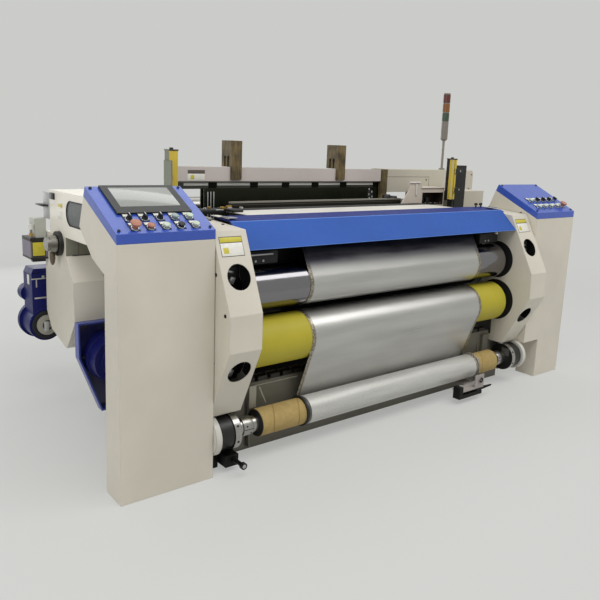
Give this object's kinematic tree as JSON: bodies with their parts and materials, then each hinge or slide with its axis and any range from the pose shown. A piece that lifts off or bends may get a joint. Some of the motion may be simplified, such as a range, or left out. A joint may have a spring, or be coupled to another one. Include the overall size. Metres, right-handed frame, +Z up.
{
  "type": "power loom",
  "caption": "Rapier loom for wire cloth: side frames, heald frames, reed, take-up rollers, roll winder, control consoles, drives and warp beam.",
  "frame": {"origin": "centre of the rectangle of four floor bolts, on the floor", "axes": "+X to the right of the weaver along the rollers, +Y from the weaver to the warp beam, +Z up"},
  "size_m": [3.251, 2.0398, 1.794],
  "materials": {
    "enamel": "satin beige enamel",
    "cream": "satin cream enamel",
    "frame": "grey machine enamel",
    "beam": "grey green machine enamel",
    "panel": "satin blue enamel",
    "cover": "satin blue enamel",
    "navy": "gloss navy enamel",
    "chrome": "polished",
    "rubber": "matt yellow rubber",
    "steel": "turned",
    "kraft": "wound kraft paper tube",
    "mesh": "fine woven wire cloth",
    "white": "satin white",
    "black": "matt black",
    "wood": "oiled hardwood",
    "aluminium": "plain",
    "yellow": "satin yellow",
    "red": "salmon red",
    "button": "pale green lens"
  },
  "bodies": {
    "root": {"breast_bar": "steel", "breast_cover": "cover", "cloth_web": "mesh", "fell_cover": "cream", "front_beam": "beam", "gear_case": "enamel", "gear_motor": "navy", "guide_rail": "enamel", "left_console": "enamel", "left_guard": "enamel", "left_housing": "enamel", "left_panel": "panel", "left_side_frame": "frame", "light_curtains": "yellow", "long_box": "enamel", "lubricator": "aluminium", "main_motor": "navy", "motor_guard": "navy", "rear_beam": "frame", "right_console": "enamel", "right_guard": "enamel", "right_housing": "enamel", "right_panel": "panel", "right_side_frame": "frame", "roll_brackets": "black", "signal_tower": "white", "touch_screen": "black", "weft_box": "enamel", "winder_heads": "white", "wooden_blocks": "wood"},
    "take_up": {"take_up_roller": "chrome"},
    "rubber_clad": {"rubber_roller": "rubber"},
    "press": {"press_roller": "steel"},
    "winder": {"winding_shaft": "steel", "paper_tube": "kraft", "cloth_roll": "mesh"},
    "back_rest": {"back_rest_roller": "steel"},
    "warp": {"warp_beam": "steel"},
    "healds_front": {"heald_frame_front": "aluminium"},
    "healds_rear": {"heald_frame_rear": "aluminium"},
    "sley_and_reed": {"sley": "frame", "reed": "steel"},
    "crank": {"crank_coupling": "steel"},
    "hub": {"output_hub": "steel"},
    "lock": {"lock_screw": "steel"},
    "lever": {"clamp_lever": "black"},
    "left_selector_1_body": {"left_selector_1": "black"},
    "left_selector_2_body": {"left_selector_2": "black"},
    "left_selector_3_body": {"left_selector_3": "black"},
    "left_button_1_body": {"left_button_1": "button"},
    "left_button_2_body": {"left_button_2": "button"},
    "left_stop_button_body": {"left_stop_button": "red"},
    "left_button_3_body": {"left_button_3": "button"},
    "left_button_4_body": {"left_button_4": "button"},
    "left_button_5_body": {"left_button_5": "button"},
    "left_button_6_body": {"left_button_6": "button"},
    "right_selector_1_body": {"right_selector_1": "black"},
    "right_selector_2_body": {"right_selector_2": "black"},
    "right_selector_3_body": {"right_selector_3": "black"},
    "right_stop_button_body": {"right_stop_button": "red"}
  },
  "joints": [
    {"name": "take_up_turn", "type": "hinge", "parent": "root", "child": "take_up", "pos_m": [0, -0.557, 0.757], "axis": [1, 0, 0], "continuous": true},
    {"name": "rubber_turn", "type": "hinge", "parent": "root", "child": "rubber_clad", "pos_m": [0, -0.573, 0.514], "axis": [1, 0, 0], "continuous": true},
    {"name": "press_turn", "type": "hinge", "parent": "root", "child": "press", "pos_m": [0, -0.408, 0.64], "axis": [1, 0, 0], "continuous": true},
    {"name": "winder_turn", "type": "hinge", "parent": "root", "child": "winder", "pos_m": [0, -0.638, 0.163], "axis": [1, 0, 0], "continuous": true},
    {"name": "back_rest_turn", "type": "hinge", "parent": "root", "child": "back_rest", "pos_m": [0, 0.78, 0.985], "axis": [1, 0, 0], "continuous": true},
    {"name": "warp_turn", "type": "hinge", "parent": "root", "child": "warp", "pos_m": [0, 0.95, 0.53], "axis": [1, 0, 0], "continuous": true},
    {"name": "front_heald_slide", "type": "slide", "parent": "root", "child": "healds_front", "axis": [0, 0, 1], "range_m": [-0.04, 0.04]},
    {"name": "rear_heald_slide", "type": "slide", "parent": "root", "child": "healds_rear", "axis": [0, 0, 1], "range_m": [-0.04, 0.04]},
    {"name": "sley_swing", "type": "hinge", "parent": "root", "child": "sley_and_reed", "pos_m": [0, 0.04, 0.3], "axis": [1, 0, 0], "range_deg": [-5, 4.5]},
    {"name": "crank_turn", "type": "hinge", "parent": "root", "child": "crank", "pos_m": [-1.4, 0.215, 0.885], "axis": [1, 0, 0], "continuous": true},
    {"name": "hub_turn", "type": "hinge", "parent": "root", "child": "hub", "pos_m": [-1.388, 0.5, 0.424], "axis": [0, 1, 0], "continuous": true},
    {"name": "lock_screw_turn", "type": "hinge", "parent": "root", "child": "lock", "pos_m": [-1, -0.7, 0.052], "axis": [0, 1, 0], "continuous": true},
    {"name": "clamp_lever_swing", "type": "hinge", "parent": "root", "child": "lever", "pos_m": [0.6, -0.738, 0.057], "axis": [0, 0, 1], "range_deg": [-35, 35]},
    {"name": "left_selector_1_turn", "type": "hinge", "parent": "root", "child": "left_selector_1_body", "pos_m": [-1.429, -0.62167, 1.08411], "axis": [0, -0.4558, 0.8901], "range_deg": [-45, 45]},
    {"name": "left_selector_2_turn", "type": "hinge", "parent": "root", "child": "left_selector_2_body", "pos_m": [-1.367, -0.62167, 1.08411], "axis": [0, -0.4558, 0.8901], "range_deg": [-45, 45]},
    {"name": "left_selector_3_turn", "type": "hinge", "parent": "root", "child": "left_selector_3_body", "pos_m": [-1.305, -0.62167, 1.08411], "axis": [0, -0.4558, 0.8901], "range_deg": [-45, 45]},
    {"name": "left_button_1_press", "type": "slide", "parent": "root", "child": "left_button_1_body", "axis": [0, -0.4558, 0.8901], "range_m": [-0.004, 0], "stiffness_N_per_m": 600},
    {"name": "left_button_2_press", "type": "slide", "parent": "root", "child": "left_button_2_body", "axis": [0, -0.4558, 0.8901], "range_m": [-0.004, 0], "stiffness_N_per_m": 600},
    {"name": "left_stop_button_press", "type": "slide", "parent": "root", "child": "left_stop_button_body", "axis": [0, -0.4558, 0.8901], "range_m": [-0.004, 0], "stiffness_N_per_m": 600},
    {"name": "left_button_3_press", "type": "slide", "parent": "root", "child": "left_button_3_body", "axis": [0, -0.4558, 0.8901], "range_m": [-0.004, 0], "stiffness_N_per_m": 600},
    {"name": "left_button_4_press", "type": "slide", "parent": "root", "child": "left_button_4_body", "axis": [0, -0.4558, 0.8901], "range_m": [-0.004, 0], "stiffness_N_per_m": 600},
    {"name": "left_button_5_press", "type": "slide", "parent": "root", "child": "left_button_5_body", "axis": [0, -0.4558, 0.8901], "range_m": [-0.004, 0], "stiffness_N_per_m": 600},
    {"name": "left_button_6_press", "type": "slide", "parent": "root", "child": "left_button_6_body", "axis": [0, -0.4558, 0.8901], "range_m": [-0.004, 0], "stiffness_N_per_m": 600},
    {"name": "right_selector_1_turn", "type": "hinge", "parent": "root", "child": "right_selector_1_body", "pos_m": [1.253, -0.58963, 1.10052], "axis": [0, -0.4558, 0.8901], "range_deg": [-45, 45]},
    {"name": "right_selector_2_turn", "type": "hinge", "parent": "root", "child": "right_selector_2_body", "pos_m": [1.317, -0.58963, 1.10052], "axis": [0, -0.4558, 0.8901], "range_deg": [-45, 45]},
    {"name": "right_selector_3_turn", "type": "hinge", "parent": "root", "child": "right_selector_3_body", "pos_m": [1.381, -0.58963, 1.10052], "axis": [0, -0.4558, 0.8901], "range_deg": [-45, 45]},
    {"name": "right_stop_button_press", "type": "slide", "parent": "root", "child": "right_stop_button_body", "axis": [0, -0.4558, 0.8901], "range_m": [-0.004, 0], "stiffness_N_per_m": 600}
  ],
  "couplings": [
    {"joint": "rubber_turn", "follows": "take_up_turn", "ratio": 0.87611},
    {"joint": "press_turn", "follows": "take_up_turn", "ratio": -1.98},
    {"joint": "winder_turn", "follows": "take_up_turn", "ratio": -1.4776},
    {"joint": "rear_heald_slide", "follows": "front_heald_slide", "ratio": -1}
  ]
}
